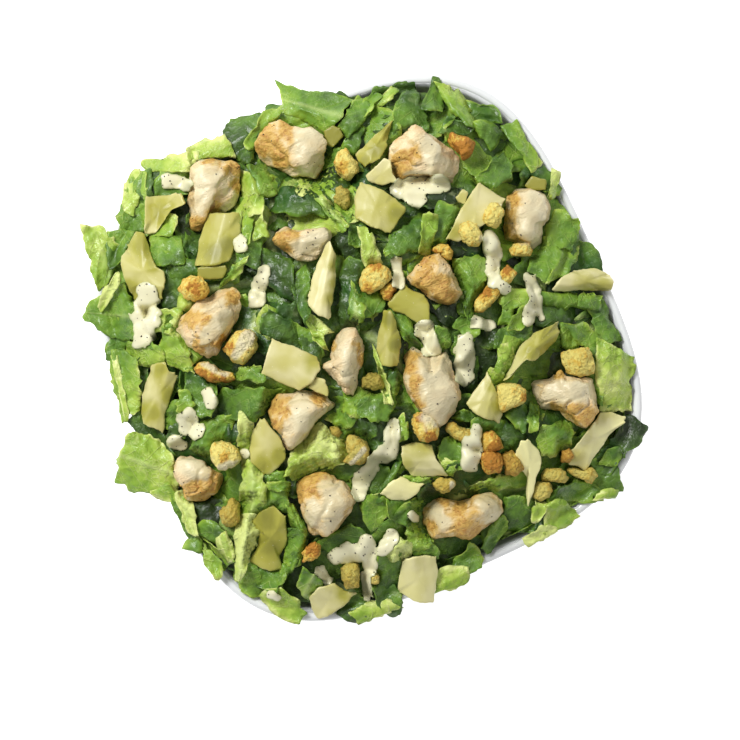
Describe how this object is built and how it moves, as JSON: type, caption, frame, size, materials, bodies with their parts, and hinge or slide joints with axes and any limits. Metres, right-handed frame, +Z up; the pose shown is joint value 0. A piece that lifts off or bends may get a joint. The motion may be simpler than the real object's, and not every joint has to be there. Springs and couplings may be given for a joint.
{
  "type": "chicken salad in a bowl",
  "caption": "Chicken caesar salad heaped in a rounded-square white porcelain bowl: romaine, roast chicken cubes, croutons, shaved hard cheese and dressing.",
  "frame": {"origin": "centre of the bowl's foot, on the surface the bowl stands on", "axes": "+Z up; X and Y square to the bowl's flat sides. The picture looks straight down and shows the bowl turned 24 degrees counter-clockwise"},
  "size_m": [0.2256, 0.2293, 0.0949],
  "materials": {
    "white_porcelain": "glossy white glaze",
    "lettuce": "wet, dressed romaine leaves, deep green to yellow-green",
    "roast_chicken": "pale meat with golden-brown roasted faces",
    "toasted_bread": "dry golden crust with orange-brown edges",
    "hard_cheese": "smooth pale yellow shavings",
    "cream_dressing": "thick wet cream",
    "ground_pepper": "cracked black pepper"
  },
  "bodies": {
    "root": {"bowl": "white_porcelain", "cheese_01": "hard_cheese", "cheese_02": "hard_cheese", "cheese_03": "hard_cheese", "cheese_04": "hard_cheese", "cheese_05": "hard_cheese", "cheese_06": "hard_cheese", "cheese_07": "hard_cheese", "cheese_08": "hard_cheese", "cheese_09": "hard_cheese", "cheese_10": "hard_cheese", "cheese_11": "hard_cheese", "cheese_12": "hard_cheese", "cheese_13": "hard_cheese", "cheese_14": "hard_cheese", "cheese_15": "hard_cheese", "cheese_16": "hard_cheese", "cheese_17": "hard_cheese", "cheese_18": "hard_cheese", "cheese_19": "hard_cheese", "cheese_20": "hard_cheese", "cheese_21": "hard_cheese", "cheese_22": "hard_cheese", "chicken_01": "roast_chicken", "chicken_02": "roast_chicken", "chicken_03": "roast_chicken", "chicken_04": "roast_chicken", "chicken_05": "roast_chicken", "chicken_06": "roast_chicken", "chicken_07": "roast_chicken", "chicken_08": "roast_chicken", "chicken_09": "roast_chicken", "chicken_10": "roast_chicken", "chicken_11": "roast_chicken", "chicken_12": "roast_chicken", "chicken_13": "roast_chicken", "chicken_14": "roast_chicken", "crouton_01": "toasted_bread", "crouton_02": "toasted_bread", "crouton_03": "toasted_bread", "crouton_04": "toasted_bread", "crouton_05": "toasted_bread", "crouton_06": "toasted_bread", "crouton_07": "toasted_bread", "crouton_08": "toasted_bread", "crouton_09": "toasted_bread", "crouton_10": "toasted_bread", "crouton_11": "toasted_bread", "crouton_12": "toasted_bread", "crouton_13": "toasted_bread", "crouton_14": "toasted_bread", "crouton_15": "toasted_bread", "crouton_16": "toasted_bread", "crouton_17": "toasted_bread", "crouton_18": "toasted_bread", "crouton_19": "toasted_bread", "crouton_20": "toasted_bread", "crouton_21": "toasted_bread", "crouton_22": "toasted_bread", "lettuce_heap": "lettuce"}
  },
  "joints": []
}
